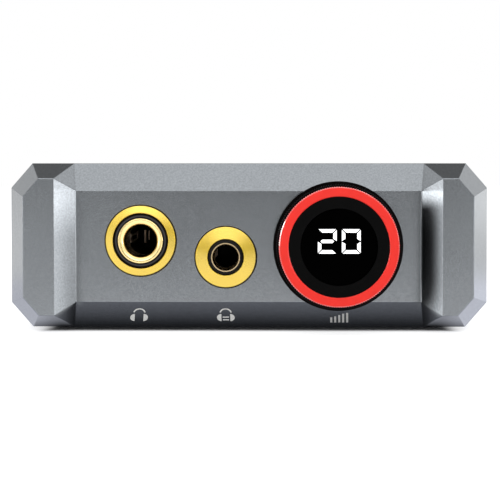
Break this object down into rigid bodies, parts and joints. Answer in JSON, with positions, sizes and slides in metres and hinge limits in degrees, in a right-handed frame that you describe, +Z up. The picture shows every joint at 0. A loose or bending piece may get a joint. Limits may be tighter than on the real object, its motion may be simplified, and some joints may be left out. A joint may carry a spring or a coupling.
{
  "type": "desktop dac",
  "caption": "Compact desktop converter and headphone amplifier: faceted metal case, two headphone jacks, display volume knob, rear audio and data sockets.",
  "frame": {"origin": "centre of the footprint, at the bottom of the feet", "axes": "+Z up, -Y towards the front with the jacks and knob, +X to the right seen from the front"},
  "size_m": [0.1, 0.1206, 0.0352],
  "materials": {
    "anodised": "bead-blasted, grey anodised",
    "rear_plate": "black anodised",
    "screw_steel": "black oxide",
    "foot_rubber": "matt",
    "board": "solder mask over glass laminate",
    "connector_black": "moulded",
    "gold": "gold plated",
    "pale_gold": "gold plated",
    "knob_black": "black anodised",
    "knob_red": "red anodised, knurled",
    "knob_dark": "dark anodised",
    "window": "polished",
    "digit": "lit",
    "light_unit": "moulded",
    "brass": "turned",
    "shaft_steel": "turned",
    "plated_steel": "plated",
    "insert_white": "moulded",
    "insert_red": "moulded",
    "insert_orange": "moulded",
    "chip_black": "moulded",
    "capacitor_sleeve": "sleeved",
    "film_red": "dipped",
    "ferrite": "sintered"
  },
  "bodies": {
    "chassis": {"front_shell": "anodised", "body_sleeve": "anodised", "rear_panel": "rear_plate", "tie_screws": "screw_steel", "feet": "foot_rubber", "main_board": "board", "front_board": "board", "board_screws": "screw_steel", "board_link": "connector_black", "big_jack_housing": "connector_black", "big_jack_ferrule": "gold", "big_jack_nut": "gold", "big_jack_contacts": "gold", "small_jack_housing": "connector_black", "small_jack_ring": "pale_gold", "small_jack_nut": "gold", "small_jack_contacts": "gold", "rotor_bush": "brass", "press_switches": "connector_black", "display_post": "connector_black", "display_module": "light_unit", "display_window": "window", "display_digits": "digit", "optical_socket": "connector_black", "gain_switch": "plated_steel", "dac_chips": "chip_black", "op_amps": "chip_black", "oscillators": "plated_steel", "film_capacitors": "film_red", "inductors": "ferrite", "processor": "chip_black", "electrolytics": "capacitor_sleeve", "shield_can": "plated_steel", "usb_data_shell": "plated_steel", "usb_power_shell": "plated_steel", "usb_data_tongue": "connector_black", "usb_power_tongue": "connector_black", "line_left_barrel": "gold", "line_left_insert": "insert_white", "line_left_body": "connector_black", "line_right_barrel": "gold", "line_right_insert": "insert_red", "line_right_body": "connector_black", "coax_barrel": "gold", "coax_insert": "insert_orange", "coax_body": "connector_black"},
    "carriage": {"encoder_carriage": "connector_black"},
    "knob": {"knob_shell": "knob_black", "knob_ring": "knob_red", "knob_face": "knob_dark", "knob_rotor": "shaft_steel"},
    "shutter": {"optical_shutter": "connector_black"},
    "slider": {"gain_slider": "connector_black"}
  },
  "joints": [
    {"name": "press", "type": "slide", "parent": "chassis", "child": "carriage", "axis": [0, 1, 0], "range_m": [0, 0.0004], "stiffness_N_per_m": 1500, "springref_m": -0.0004},
    {"name": "volume", "type": "hinge", "parent": "carriage", "child": "knob", "pos_m": [0.0185, -0.0554, 0.01812], "axis": [0, 1, 0], "continuous": true},
    {"name": "gain", "type": "slide", "parent": "chassis", "child": "slider", "axis": [1, 0, 0], "range_m": [0, 0.002]},
    {"name": "shutter_swing", "type": "hinge", "parent": "chassis", "child": "shutter", "pos_m": [0.0052, 0.0519, 0.01997], "axis": [-1, 0, 0], "range_deg": [0, 75], "stiffness_Nm_per_rad": 0.00005, "springref_deg": -11.46}
  ]
}
